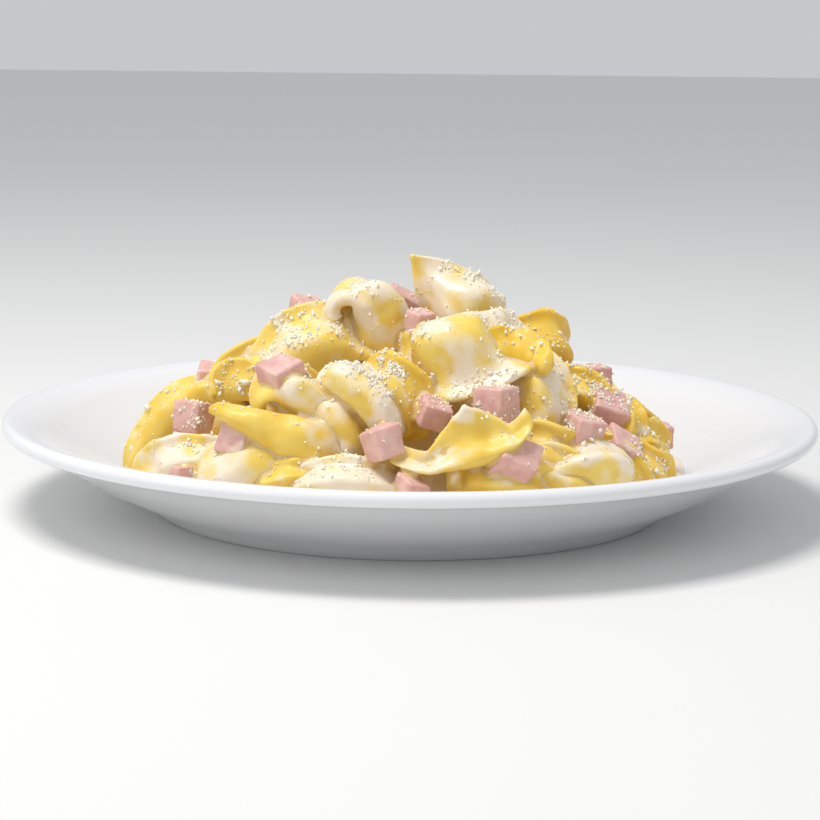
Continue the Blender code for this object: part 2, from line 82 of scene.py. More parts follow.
# One row for each tortellino: name, centre of its filling (x right, y away, z up),
# (rolled clockwise, turned, tipped back) in degrees, (cream on it, egg yellow of it), its own shape.
TORTELLINI = [
    ("top", (15.2, -8.5, 63.4), (-47, 10, 15), (0.72, 0.25),
     {"length": 28, "width": 31, "point": 1, "wrap": 0.5, "flare": 5, "curl": 12, "plump": 7,
      "belly": 0.65}),
    ("mid", (11.2, -45.5, 56.2), (165, 10, 0), (0.68, 0.25),
     {"length": 40, "width": 28, "point": 0, "wrap": 0.5, "flare": 28, "curl": 34, "belly": 0.42,
      "depth": 0.66, "plump": 10, "lift": 3}),
    ("crown", (-9, -22, 58.6), (5, 86, 80), (0.85, 0.25),
     {"length": 47, "width": 19, "point": 0.6, "wrap": 1.1, "flare": 0, "curl": 15, "belly": 0.48,
      "plump": 9.5, "arm": 1.8}),
    ("left_hi", (-32, -28, 50), (-30, -10, 50), (0.74, 0.2),
     {"length": 46, "width": 24, "point": 0.2, "wrap": 0.5, "flare": 15, "curl": 30, "plump": 8,
      "belly": 0.55, "depth": 0.7, "wave": 1.4}),
    ("rims", (30, -44.5, 53.4), (14, 172, 10), (0.1, 0.75),
     {"length": 25, "width": 12, "point": 0.2, "wrap": 0.42, "flare": 0, "curl": 30, "plump": 3.5}),
    ("right_hi", (41, -11.5, 50.3), (5, 20, 20), (0.3, 0.7),
     {"length": 30, "width": 18, "point": 0.3, "wrap": 0.7, "flare": 0, "curl": 30}),
    ("right", (36.5, -46.5, 38.5), (90, -12, 30), (0.72, 0.35),
     {"length": 38, "width": 21, "point": 0.1, "wrap": 0.5, "flare": 10, "curl": 45, "belly": 0.56,
      "depth": 0.78, "plump": 8.5}),
    ("banana", (-11.5, -59.5, 43), (52, -10, 45), (1.05, 0.1),
     {"length": 28, "width": 12, "point": 0.1, "wrap": 0.3, "flare": 20, "curl": 30, "belly": 0.85,
      "depth": 0.95, "plump": 6}),
    ("olive", (-3, -54, 40.5), (60, 10, 30), (0.3, 0.7),
     {"length": 26, "width": 16, "point": 0.2, "wrap": 0.5, "flare": 20, "curl": 45, "belly": 0.6,
      "plump": 7}),
    ("cheesy", (-27.5, -53.5, 34.8), (10, 78, 68), (0.7, 0.25),
     {"length": 43, "width": 16, "point": 0.1, "wrap": 0.95, "flare": 15, "curl": 40, "belly": 0.6,
      "plump": 8}),
    ("leaf", (-34.5, -63, 31.8), (31, 0, 10), (0.25, 0.5),
     {"length": 46, "width": 15, "point": 0.35, "wrap": 0.15, "flare": 0, "curl": 15, "plump": 3,
      "belly": 0.9, "depth": 0.9, "skew": -0.45, "arm": 0.6}),
    ("leaf_low", (-46, -59, 22.5), (-20, 0, 35), (0.85, 0.2),
     {"length": 38, "width": 20, "point": 0.1, "wrap": 0.5, "flare": 10, "curl": 20, "belly": 0.75,
      "depth": 0.85, "plump": 8}),
    ("sheet", (-51, -32.5, 41), (0, 180, 0), (0.35, 0.5),
     {"length": 17, "width": 13, "point": 0, "wrap": 0.3, "flare": 0, "curl": 20, "plump": 2.5,
      "wave": 0.3}),
    ("long", (-74.5, -17.5, 27.5), (-50, 0, 66), (0.45, 0.35),
     {"length": 58, "width": 15, "point": 0.1, "wrap": 0.4, "flare": 10, "curl": 20, "belly": 0.75,
      "plump": 4, "arm": 1.7}),
    ("low_left", (-62, -47, 20.5), (-5, 0, 35), (0.85, 0.2),
     {"length": 40, "width": 14, "point": 0.1, "wrap": 0.3, "flare": 10, "curl": 30, "belly": 0.5,
      "skew": 0.2, "plump": 6.5}),
    ("fold", (-34, -67, 20.5), (-10, 0, 30), (0.4, 0.4),
     {"length": 26, "width": 9, "point": 0.1, "wrap": 0.4, "flare": 10, "curl": 30, "plump": 4}),
    ("front", (-16, -72, 20), (2, 0, 35), (0.95, 0.2),
     {"length": 44, "width": 13, "point": 0.1, "wrap": 0.45, "flare": 10, "curl": 30, "belly": 0.7,
      "plump": 7}),
    ("boat", (16.2, -71, 26.6), (-14, 0, -14), (0.6, 0.35),
     {"length": 41, "width": 18.5, "point": 0.9, "span": 0.6, "wrap": 0.12, "flare": -12, "curl": 5,
      "belly": 1, "depth": 0.38, "plump": 7, "arm": 1.15, "skew": -0.17, "lift": 6}),
    ("low_leaf", (27, -69, 20.5), (5, 0, 20), (0.4, 0.4),
     {"length": 34, "width": 12, "point": 0.1, "wrap": 0.4}),
    ("pearl", (48.5, -58, 22.6), (-20, 0, 50), (0.95, 0.1),
     {"length": 31, "width": 16, "point": 0.1, "wrap": 0.45, "belly": 0.8, "depth": 0.9, "plump": 9.5}),
    ("neck", (38.5, -58, 25), (10, 0, 30), (0.45, 0.4),
     {"length": 32, "width": 17, "point": 0.1, "wrap": 0.5}),
    ("low_mid", (43, -61.5, 20), (15, 0, 30), (0.5, 0.3),
     {"length": 36, "width": 15, "point": 0.1, "wrap": 0.5, "belly": 0.6}),
    ("far_low", (60.5, -48.5, 19.5), (50, 0, 30), (0.4, 0.6),
     {"length": 28, "width": 13, "point": 0.1, "wrap": 0.4}),
    ("far_top", (65.5, -18.5, 28), (30, 0, 40), (0.45, 0.55),
     {"length": 31, "width": 13, "point": 0.1, "wrap": 0.5}),
    ("far_end", (67, -28, 24), (-10, 0, 30), (0.4, 0.6),
     {"length": 24, "width": 12, "point": 0.1, "wrap": 0.5}),
    ("far_foot", (68, -40, 19.5), (20, 0, 30), (0.45, 0.5),
     {"length": 24, "width": 12, "point": 0.1, "wrap": 0.5}),
    ("far_ridge", (63.5, -30, 27.5), (110, 0, 30), (0.4, 0.55),
     {"length": 22, "width": 11, "point": 0.1, "wrap": 0.5}),
    ("far_back", (53, -28.5, 37), (40, 0, 30), (0.4, 0.5),
     {"length": 26, "width": 13, "point": 0.1, "wrap": 0.5}),
    ("left_back", (-49, -20, 42.5), (-40, 0, 40), (0.4, 0.4),
     {"length": 30, "width": 15, "point": 0.1, "wrap": 0.5}),
    ("nook", (-19, -57, 31), (70, 0, 40), (0.6, 0.35),
     {"length": 30, "width": 15, "point": 0.1, "wrap": 0.4, "flare": 10, "curl": 30, "belly": 0.75,
      "depth": 0.85, "plump": 7}),
]

# One row for each dice of ham: number, centre, turns about x, y and z in degrees, side.
HAM = [
    (1, (-32, -1, 59), (20, 10, 30), 9), (2, (-4, -15, 64), (20, 30, 20), 9),
    (3, (2.5, -33, 61.5), (10, 0, 40), 6.5), (4, (-36.8, -53.5, 47.2), (10, -15, 40), 10.5),
    (5, (-61, -9.5, 40.5), (20, 10, 10), 8), (6, (-64, -33, 32), (0, 10, 60), 9.5),
    (7, (-48.5, -57.5, 30), (10, 10, 60), 9.5), (8, (-65, -50, 17.5), (0, 0, 30), 8),
    (9, (-7.5, -71, 32.2), (-10, -12, 33), 9), (10, (6.2, -58.5, 38.5), (20, 20, 20), 8),
    (11, (24.5, -59, 41.5), (0, 0, 55), 10), (12, (29.5, -70, 27), (40, 30, 10), 10.5),
    (13, (0, -74, 19), (20, 10, 40), 8), (14, (55, -11, 40.5), (0, 0, 20), 10),
    (15, (57.5, -30, 34.5), (30, 20, 20), 10.5), (16, (50, -51, 32.5), (10, 10, 30), 9.5),
    (17, (61, -43, 25), (30, 30, 20), 10.5), (18, (77, -3, 22.5), (10, 0, 20), 7.5),
]

SHAPE = {
    "length": 44.0,  # along the fold, tip to tip
    "width": 24.0,  # from the fold to the rim
    "wrap": 0.62,  # how far round the arms bend, in half turns
    "plump": 6.0,  # how far the filling swells the dough
    "flare": 10.0,  # lean of the dough away from the ring's axis, degrees
    "curl": 50.0,  # further lean at the rim, degrees
    "point": 0.3,  # 0 for a round rim, 1 for a pointed one
    "span": 1.0,  # share of the fold that the rim covers
    "belly": 0.56,  # share of the fold that the filling takes
    "depth": 0.62,  # share of the width that the filling takes
    "arm": 1.0,  # thickness of the arms
    "lift": 0.0,  # how far the tips rise
    "skew": 0.0,  # shift of the rim towards one tip
    "wave": 0.8,  # waviness of the rim
}
DOUGH = 2.0  # thickness of the rolled dough
ARM_WIDTH = 5.5  # width of the arms, before each piece's own share
LESS_CREAM = 0.07  # taken off the cream of every tortellino
REAR_DETAIL = 0.68  # share of the points that a tortellino at the back has

# Where the grated cheese gathered: centre, radius, weight.
CHEESE_HEAPS = [
    ((9, 0, 75), 7, 1.0), ((19, 0, 76), 8, 1.2), ((28, 0, 71), 8, 1.0), ((-19, -31, 63), 7, 1.6),
    ((-33, -29, 58), 9, 1.0), ((-40, -31, 54), 7, 0.8), ((-4, -50, 54), 7, 1.4), ((26, -35, 60), 8, 1.2),
    ((40, -23, 58), 7, 0.9), ((48, -24, 52), 8, 1.5), ((49, -35, 43), 8, 1.3), ((45, -52, 36), 6, 1.0),
    ((12, -62, 40), 6, 1.2), ((20, -61, 40), 6, 1.2), ((26, -61, 38), 6, 1.0), ((25, -55, 44), 6, 1.5),
    ((56, -5, 44), 7, 1.2), ((-10, -55, 48), 8, 1.5), ((-13, -58, 44), 6, 1.2), ((-26, -52, 46), 7, 1.0),
    ((-60, -38, 34), 8, 1.8), ((-50, -37, 43), 7, 0.8), ((64, -10, 36), 9, 1.3), ((68, -25, 32), 9, 1.0),
    ((57, -28, 38), 8, 1.2), ((71, -41, 19), 7, 1.4), ((-17, -72, 24), 8, 0.8), ((-31, -69, 23), 7, 0.6),
    ((6, -49, 56), 7, 0.5), ((-77, -8, 34), 7, 0.5), ((-2, -31, 67), 7, 0.7), ((-46, -54, 32), 7, 0.5),
]

CHEESE_FLOOR = 12.0  # cheese lies only on what is higher than this
CRUMB_SPREAD = 0.38  # how much the widths of the crumbs differ
CRUMB_UNEVEN = 0.28  # how uneven a crumb is

# A crumb is an uneven octahedron.
CRUMB_CORNERS = np.array([(1, 0, 0), (0, 1, 0), (-1, 0, 0), (0, -1, 0), (0, 0, 1), (0, 0, -1)], float)
CRUMB_FACES = np.array([(i, (i + 1) % 4, 4) for i in range(4)] + [((i + 1) % 4, i, 5) for i in range(4)])

# Cheese dust on the plate beside the heap: its centre, its spread to the side and away, and its share
# of the usual width of a crumb.
DUST_CENTRE = (86.0, -26.0)
DUST_SPREAD = (4.5, 7.0)
DUST_WIDTH = 0.6

# Rows of pieces behind the front ones: climb from the plate, count, first and last angle round
# from +X (degrees), kind.
REAR_ROWS = [
    (8, 13, -38, 218, "pasta"), (6, 7, -15, 195, "ham"), (28, 12, -42, 222, "pasta"),
    (30, 3, 30, 150, "ham"), (47, 10, -50, 230, "pasta"), (56, 3, 0, 180, "ham"),
    (65, 7, -70, 250, "pasta"), (84, 3, -60, 240, "pasta"),
]
REAR_DEPTHS = (2, 5, 8, 11)  # how far a piece at the back is pushed in, tried in turn
REAR_DICE_OUT = 4  # dice are small, so they sit this much less deep
REAR_JITTER = 4  # degrees that a piece at the back strays from its even place

# Half sizes of two rounded heaps, sideways, away and up, and what each gains at its back.
REAR_DOME, REAR_GAIN, REAR_BASE = (60.0, 42.0, 51.0), (11, 26, 4), 10.0
CORE_DOME, CORE_GAIN, CORE_BASE = (58.0, 46.0, 54.0), (2, 14, 0), 8.0
CORE_RINGS, CORE_SIDES = 14, 48

# Section of the cream in the well, from the top's middle round its edge to the under side:
# share of the radius, height.
POOL_SECTION = [(0.5, 10.3), (0.9, 10.3), (0.97, 10.0), (1.0, 9.4), (1.0, 7.0), (0.9, 6.4), (0.5, 6.2)]
POOL_RADIUS, POOL_SIDES = 81.0, 96
POOL_SLOPE_FROM, POOL_SLOPE = 78, 0.30  # radius where the plate starts to rise, and how steeply

# Lamps: name, place in metres, width in metres, share of the key light's power.
LAMPS = [("key", (-0.25, -0.2, 1.0), 0.4, 1), ("soft", (-0.95, -0.75, 0.35), 0.9, 0.3)]
LAMP_AIM = (0, 0, 0.03)
FLOOR_REACH = 4000

# Camera of the front view.
CAMERA_LENS = 105.48
CAMERA_PLACE = (0.00000, -0.73335, 0.15682)
CAMERA_TURNS = (80.1360, -0.5941, 0.0986)


def linear(code):
    """Linear colour from an sRGB hex code."""
    shares = [int(code[start:start + 2], 16) / 255 for start in (1, 3, 5)]
    return tuple(s / 12.92 if s <= 0.04045 else ((s + 0.055) / 1.055) ** 2.4 for s in shares)


def colour_prop(name, code, description):
    return FloatVectorProperty(name=name, description=description, subtype="COLOR", min=0, max=1,
                               default=linear(code))


def length_prop(name, millimetres, description):
    return FloatProperty(name=name, description=description, subtype="DISTANCE", unit="LENGTH", min=0,
                         default=millimetres * MM)


class PlateSettings(bpy.types.PropertyGroup):
    """Size and colour of the plate"""

    segments: IntProperty(name="Segments", description="Sides of the turned plate", default=256, min=32)
    glaze: colour_prop("Glaze", "#e9e9eb", "Colour of the glazed china")


class FoodSettings(bpy.types.PropertyGroup):
    """Sizes and colours of the food"""

    stations: IntProperty(name="Stations", description="Rows of points along each fold", default=72, min=12)
    loop_points: IntProperty(name="Loop points", description="Points round each row", default=44, min=12)
    rumple: length_prop("Rumple", 0.46, "How uneven the boiled dough is")
    film: length_prop("Film", 0.25, "Thickness of the cream on the pasta")
    sauce_grain: length_prop("Sauce grain", 1.05, "Grid that the cream between the pieces is made on")
    crumbs: IntProperty(name="Crumbs", description="Pieces of grated cheese", default=11000, min=0)
    crumb: length_prop("Crumb", 0.72, "Usual width of a crumb of cheese")
    rear_seed: IntProperty(name="Rear seed", description="Shuffles the pieces at the back", default=5)
    dough_pale: colour_prop("Dough, pale", "#f2d771", "Boiled dough where it is thick")
    dough_deep: colour_prop("Dough, deep", "#e6bb36", "Egg-rich dough at folds and edges")
    cream: colour_prop("Cream", "#f3e6cf", "Cream where it lies thick")
    cream_warm: colour_prop("Cream, warm", "#dcbc80", "Cream in the gaps, tinted by the dough")
    ham_pale: colour_prop("Ham, pale", "#e8c0b6", "Cut faces of the ham")
    ham_deep: colour_prop("Ham, deep", "#cd938b", "Leaner parts of the ham")
    cheese: colour_prop("Cheese", "#fff9ec", "Grated hard cheese")


class StageSettings(bpy.types.PropertyGroup):
    """Floor and light"""

    floor: colour_prop("Floor", "#e6e6e4", "Colour of the floor")
    key: FloatProperty(name="Key light", description="Power of the large lamp", subtype="POWER", unit="POWER",
                       default=7.3, min=0)
    fill: FloatProperty(name="Room light", description="Strength of the even light", default=0.62, min=0)


def ease(values, start, end):
    """Smooth step from 0 at start to 1 at end."""
    share = np.clip((values - start) / (end - start), 0, 1)
    return share * share * (3 - 2 * share)


def running_sum(values, step):
    """Trapezium-rule integral along the last axis, starting at 0."""
    middle = (values[..., 1:] + values[..., :-1]) / 2
    start = np.zeros(values.shape[:-1] + (1,))
    return np.concatenate([start, np.cumsum(middle, -1)], -1) * step


def bumps(points, size, seed):
    """Smooth noise from -1 to 1 at points (n, 3), with bumps about that size across."""
    lattice = np.random.default_rng(seed).uniform(-1, 1, (32, 32, 32))
    scaled = np.asarray(points) / size
    whole = np.floor(scaled).astype(int)
    part = scaled - whole
    part = part * part * (3 - 2 * part)
    total = np.zeros(len(scaled))
    for corner in itertools.product((0, 1), repeat=3):
        weight = np.prod(np.where(corner, part, 1 - part), axis=1)
        cell = (whole + corner) % 32
        total += weight * lattice[cell[:, 0], cell[:, 1], cell[:, 2]]
    return total


def add_node(tree, kind, inputs=None, **settings):
    """Adds a node with its settings, and sets or links its inputs by name or number."""
    node = tree.nodes.new(kind)
    for name, value in settings.items():
        setattr(node, name, value)
    for name, value in (inputs or {}).items():
        socket = node.inputs[name]
        if isinstance(value, bpy.types.NodeSocket):
            tree.links.new(value, socket)
        else:
            socket.default_value = value
    return node


def new_material(name):
    """Material with a bare Principled shader, its tree, its shader and the object's own coordinates."""
    material = bpy.data.materials.new(name)
    material.use_nodes = True
    tree = material.node_tree
    shader = tree.nodes["Principled BSDF"]
    where = add_node(tree, "ShaderNodeTexCoord").outputs["Object"]
    return material, tree, shader, where


def set_shader(shader, **values):
    for name, value in values.items():
        shader.inputs[name.replace("_", " ")].default_value = value


def glazed_china(plate):
    """Porcelain under a clear glaze: even white with sharp, faintly wavering reflections."""
    material, tree, shader, where = new_material("glazed_porcelain")
    set_shader(shader, Base_Color=(*plate.glaze, 1), Roughness=0.13, IOR=1.5)
    # Glaze runs a little while it melts: waves about 14 mm across.
    run = add_node(tree, "ShaderNodeTexNoise", {"Vector": where, "Scale": 1 / 0.014, "Detail": 1.0})
    wave = add_node(tree, "ShaderNodeBump",
                    {"Height": run.outputs["Fac"], "Strength": 0.05, "Distance": 0.0006})
    tree.links.new(wave.outputs["Normal"], shader.inputs["Normal"])
    return material


def coated(name, low, high, coat, mottle_mm, see_in_mm, rough, gloss):
    """Food under a film of cream.

    Two colours of the food mix in patches of mottle_mm, and egg moves the food towards
    the second. Cream covers it where the cream attribute is high, and takes the roughness
    from rough to gloss. Light goes see_in_mm deep.
    """
    material, tree, shader, where = new_material(name)
    cream = add_node(tree, "ShaderNodeAttribute", attribute_name="cream").outputs["Fac"]
    egg = add_node(tree, "ShaderNodeAttribute", attribute_name="egg").outputs["Fac"]
    patch = add_node(tree, "ShaderNodeTexNoise", {"Vector": where, "Scale": 1000 / mottle_mm, "Detail": 3.0})
    shift = add_node(tree, "ShaderNodeMath", {0: patch.outputs["Fac"], 1: -0.5}, operation="ADD")
    share = add_node(tree, "ShaderNodeMath", {0: shift.outputs[0], 1: 1.5, 2: egg}, operation="MULTIPLY_ADD",
                     use_clamp=True)
    food = add_node(tree, "ShaderNodeMixRGB",
                    {"Fac": share.outputs[0], "Color1": (*low, 1), "Color2": (*high, 1)})
    # The film breaks up in spots about 1.3 mm across at its edge.
    spots = add_node(tree, "ShaderNodeTexNoise", {"Vector": where, "Scale": 1 / 0.0013, "Detail": 2.0})
    spread = add_node(tree, "ShaderNodeMath", {0: spots.outputs["Fac"], 1: 0.55, 2: cream},
                      operation="MULTIPLY_ADD")
    film = add_node(tree, "ShaderNodeMapRange",
                    {"Value": spread.outputs[0], "From Min": 0.45, "From Max": 1.25})
    covered = add_node(tree, "ShaderNodeMixRGB", {"Fac": film.outputs[0], "Color1": food.outputs[0],
                                                  "Color2": (*coat, 1)})
    tree.links.new(covered.outputs[0], shader.inputs["Base Color"])
    shine = add_node(tree, "ShaderNodeMapRange", {"Value": film.outputs[0], "To Min": rough, "To Max": gloss})
    tree.links.new(shine.outputs[0], shader.inputs["Roughness"])
    # Grain of the surface, about 0.7 mm.
    grain = add_node(tree, "ShaderNodeTexNoise", {"Vector": where, "Scale": 1 / 0.0007, "Detail": 2.0})
    bump = add_node(tree, "ShaderNodeBump",
                    {"Height": grain.outputs["Fac"], "Strength": 0.16, "Distance": 0.0003})
    tree.links.new(bump.outputs["Normal"], shader.inputs["Normal"])
    set_shader(shader, Subsurface_Weight=0.22, Subsurface_Radius=(1.0, 0.8, 0.4),
               Subsurface_Scale=see_in_mm * MM, IOR=1.42)
    return material


def boiled_dough(food):
    """Egg pasta, rolled and boiled: soft, slightly see-through and wet, streaked with thin cream."""
    return coated("boiled_egg_dough", food.dough_pale, food.dough_deep, food.cream,
                  mottle_mm=7.0, see_in_mm=2.2, rough=0.36, gloss=0.17)


def cooked_ham(food):
    """Cooked ham cut in dice: matt, moist and mottled pink, its top smeared with cream."""
    return coated("cooked_ham", food.ham_pale, food.ham_deep, food.cream,
                  mottle_mm=3.0, see_in_mm=1.6, rough=0.48, gloss=0.26)


def thick_cream(food):
    """Reduced cream: smooth and glossy, white where it is thick and golden in the gaps."""
    return coated("reduced_cream", food.cream_warm, food.dough_deep, food.cream,
                  mottle_mm=9.0, see_in_mm=2.5, rough=0.26, gloss=0.17)


def grated_cheese(food):
    """Hard cheese, finely grated: dull, pale crumbs that just begin to melt."""
    material, tree, shader, where = new_material("grated_hard_cheese")
    patch = add_node(tree, "ShaderNodeTexNoise", {"Vector": where, "Scale": 1 / 0.004, "Detail": 1.0})
    tint = add_node(tree, "ShaderNodeMixRGB", {"Fac": patch.outputs["Fac"], "Color1": (*food.cheese, 1),
                                               "Color2": (*linear("#fceccf"), 1)})
    tree.links.new(tint.outputs[0], shader.inputs["Base Color"])
    set_shader(shader, Roughness=0.6, Subsurface_Weight=0.5, Subsurface_Radius=(1.0, 0.9, 0.7),
               Subsurface_Scale=0.5 * MM)
    return material


def ready_material(make, settings):
    """The material that this function makes, made once."""
    made = ready_material.made
    if make.__name__ not in made:
        made[make.__name__] = make(settings)
    return made[make.__name__]


ready_material.made = {}


def mesh_of(name, points, faces):
    mesh = bpy.data.meshes.new(name)
    mesh.from_pydata((np.asarray(points) * MM).tolist(), [], faces)
    mesh.update()
    return mesh


def coordinates(mesh):
    values = np.empty(len(mesh.vertices) * 3, np.float32)
    mesh.vertices.foreach_get("co", values)
    return values.reshape(-1, 3).astype(float) / MM


def normals_of(mesh):
    values = np.empty(len(mesh.vertices) * 3, np.float32)
    mesh.vertex_normals.foreach_get("vector", values)
    return values.reshape(-1, 3).astype(float)


def set_coordinates(mesh, points):
    mesh.vertices.foreach_set("co", (points * MM).astype(np.float32).ravel())
    mesh.update()


def set_attribute(mesh, name, values):
    layer = mesh.attributes.new(name, "FLOAT", "POINT")
    layer.data.foreach_set("value", np.asarray(values, np.float32))


def add_piece(name, mesh, material, slot, *stands_for):
    """Shows a mesh as a piece that moves with the plate and stands for CAD nodes."""
    mesh.materials.append(material)
    mesh.shade_smooth()
    piece = bpy.data.objects.new(name, mesh)
    bpy.context.collection.objects.link(piece)
    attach(piece, "root")
    if stands_for:
        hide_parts(*stands_for)


def food_meshes(*starts):
    """Meshes of the food's pieces whose names start so, leaving out the CAD nodes."""
    return [o.data for o in bpy.data.objects if o.name.startswith(starts) and "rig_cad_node" not in o]


def triangles_of(mesh):
    """Numbers of the three corners of each triangle."""
    mesh.calc_loop_triangles()
    corners = np.empty(len(mesh.loop_triangles) * 3, np.int32)
    mesh.loop_triangles.foreach_get("vertices", corners)
    return corners.reshape(-1, 3)


def joined(name, meshes):
    """One mesh of several, without their materials."""
    made = bmesh.new()
    for mesh in meshes:
        made.from_mesh(mesh)
    whole = bpy.data.meshes.new(name)
    made.to_mesh(whole)
    made.free()
    return whole


def after_modifiers(name, mesh, *modifiers):
    """Copy of a mesh with modifiers applied, each given as (type, settings)."""
    holder = bpy.data.objects.new(name, mesh)
    bpy.context.collection.objects.link(holder)
    for kind, settings in modifiers:
        modifier = holder.modifiers.new(kind, kind)
        for setting, value in settings.items():
            setattr(modifier, setting, value)
    bpy.context.view_layer.update()
    evaluated = holder.evaluated_get(bpy.context.evaluated_depsgraph_get())
    result = bpy.data.meshes.new_from_object(evaluated)
    bpy.data.objects.remove(holder)
    result.name = name
    return result


def softened(grid, passes):
    """Grid of values (stations, loop_points), blurred a little along the fold and round the loops."""
    for _ in range(passes):
        grid = (np.roll(grid, 1, 1) + 2 * grid + np.roll(grid, -1, 1)) / 4
        padded = np.pad(grid, ((1, 1), (0, 0)), mode="edge")
        grid = (padded[:-2] + 2 * grid + padded[2:]) / 4
    return grid


def dough_surface(shape, stations, loop_points):
    """Grid of points (stations, loop_points, 3) round a folded, filled and bent disc of dough.

    u runs along the fold from tip to tip, and each loop goes from the fold up the
    inner sheet to the rim and back down the outer sheet.
    """
    even = np.linspace(-1, 1, stations)
    u = 0.75 * even + 0.25 * np.sin(even * math.pi / 2)

    # The fold line bends round in plan.
    fine = np.linspace(-1, 1, 401)
    heading = shape["wrap"] * math.pi * (0.6 * fine + 0.4 * fine * np.abs(fine))
    step = shape["length"] / 2 * (fine[1] - fine[0])
    line_x = running_sum(np.cos(heading), step)
    line_y = running_sum(np.sin(heading), step)
    middle = len(fine) // 2
    turn = np.interp(u, fine, heading)
    flat = np.zeros_like(u)
    fold = np.stack([np.interp(u, fine, line_x - line_x[middle]),
                     np.interp(u, fine, line_y - line_y[middle]), shape["lift"] * u**2], 1)
    outward = np.stack([np.sin(turn), -np.cos(turn), flat], 1)
    along = np.stack([np.cos(turn), np.sin(turn), flat], 1)
    up = np.array([0.0, 0.0, 1.0])

    # Tips of a closed ring pass one outside the other.
    if shape["wrap"] > 0.8:
        fold += outward * (np.sign(u) * ease(np.abs(u), 0.7, 1) * 1.4)[:, None]

    # Outline of the folded disc, from round to pointed.
    reach = np.clip(np.abs(u + shape["skew"] * (1 - u * u)) / shape["span"], 0, 1)
    round_rim = np.sqrt(np.clip(1 - reach**2.3, 0, 1))
    pointed_rim = (1 - reach) ** 0.9
    arm = ARM_WIDTH * shape["arm"]
    width = arm + (shape["width"] - arm) * ((1 - shape["point"]) * round_rim + shape["point"] * pointed_rim)

    phase = 2 * math.pi * np.arange(loop_points) / loop_points
    v = (1 - np.cos(phase)) / 2
    v = v - 0.05 * np.sin(2 * math.pi * v)
    outer = phase < math.pi
    v_grid, u_grid = np.meshgrid(v, u)
    width_grid = width[:, None]

    # Thickness: two sheets of dough, the pillow of filling between them, and rolled arms.
    half = DOUGH / 2
    middle_v = shape["depth"] / 2
    pillow_u = np.clip(1 - np.abs(u_grid / shape["belly"]) ** 3, 0, 1) ** 0.5
    pillow_v = np.clip(1 - np.abs((v_grid - 0.92 * middle_v) / (1.08 * middle_v)) ** 2.8, 0, 1) ** 0.5
    rolled = np.clip(1 - ((v_grid * width_grid - 2.6) / 3.2) ** 2, 0, 1) * ease(np.abs(u_grid), 0.25, 0.7)
    rolled = rolled * half * 0.9 * shape["arm"]
    swell = shape["plump"] * softened(pillow_u * pillow_v, stations // 16)
    thickness = np.where(outer, half + swell + rolled, -(half + 0.6 * swell + rolled))
    fold_round = np.minimum(np.abs(thickness) * 1.1 / width_grid, 0.4)
    rim_round = np.minimum(half * 1.2 / width_grid, 0.3)
    thickness *= np.sqrt(np.clip(1 - (1 - np.clip(v_grid / fold_round, 0, 1)) ** 2, 0, 1))
    thickness *= np.sqrt(np.clip(1 - (1 - np.clip((1 - v_grid) / rim_round, 0, 1)) ** 2, 0, 1))
    thickness += shape["wave"] * np.sin(3 * math.pi * u_grid) * v_grid**2.5

    # The dough leans outwards more and more towards the rim.
    rise = np.linspace(0, 1, 50)
    lean = np.radians(shape["flare"] + shape["curl"] * rise**2)
    out_rise = np.interp(v, rise, running_sum(np.sin(lean), rise[1]))
    up_rise = np.interp(v, rise, running_sum(np.cos(lean), rise[1]))
    tilt = np.radians(shape["flare"] + shape["curl"] * v**2)
    out = out_rise * width_grid + thickness * np.cos(tilt)
    high = up_rise * width_grid - thickness * np.sin(tilt)
    points = fold[:, None] + outward[:, None] * out[..., None] + up * high[..., None]
    points = points[:, ::-1]

    filling = points[stations // 2][np.abs(v[::-1] - middle_v) < 0.2].mean(0)
    caps = np.stack([points[0].mean(0) - along[0] * DOUGH * 0.6,
                     points[-1].mean(0) + along[-1] * DOUGH * 0.6])
    return points - filling, caps - filling


def band_faces(rings, sides):
    """Quads between each closed ring of points and the next."""
    faces = []
    for ring in range(rings - 1):
        low = ring * sides
        for j in range(sides):
            following = (j + 1) % sides
            faces.append((low + j, low + following, low + sides + following, low + sides + j))
    return faces


def dough_faces(stations, loop_points):
    """Quads along the grid, and a fan of triangles at each tip."""
    faces = []
    first_cap = stations * loop_points
    last_loop = first_cap - loop_points
    for j in range(loop_points):
        following = (j + 1) % loop_points
        for i in range(stations - 1):
            low, high = i * loop_points, (i + 1) * loop_points
            faces.append((low + j, low + following, high + following, high + j))
        faces.append((first_cap, following, j))
        faces.append((first_cap + 1, last_loop + j, last_loop + following))
    return faces


def plate_height(points):
    """Height of the plate's upper surface at points (n, 2 or 3)."""
    radius, height = zip(*sorted(PLATE_INSIDE))
    return np.interp(np.hypot(points[:, 0], points[:, 1]), radius, height)


def rest_on_plate(mesh):
    """Lifts what would sink into the plate to just above it, squeezed flat."""
    gap, flattened = 0.2, 0.98
    points = coordinates(mesh)
    sunk = np.minimum(points[:, 2] - (plate_height(points) + gap), 0)
    points[:, 2] -= flattened * sunk
    set_coordinates(mesh, points)


def coat_mesh(mesh, cover, egg, film, seed):
    """Works out the cream on a mesh from the slope and from chance, and thickens the surface there."""
    points, normals = coordinates(mesh), normals_of(mesh)
    amount = (cover + 0.22 * normals[:, 2] + 0.55 * bumps(points, 7.0, seed)
              + 0.3 * bumps(points, 2.8, seed + 1))
    cream = ease(amount, 0.3, 1.15)
    lumps = 0.75 + 0.6 * bumps(points, 1.9, seed + 2)
    set_coordinates(mesh, points + normals * (film * cream * lumps)[:, None])
    set_attribute(mesh, "cream", cream)
    set_attribute(mesh, "egg", np.full(len(points), egg) + 0.25 * bumps(points, 5.0, seed + 3))


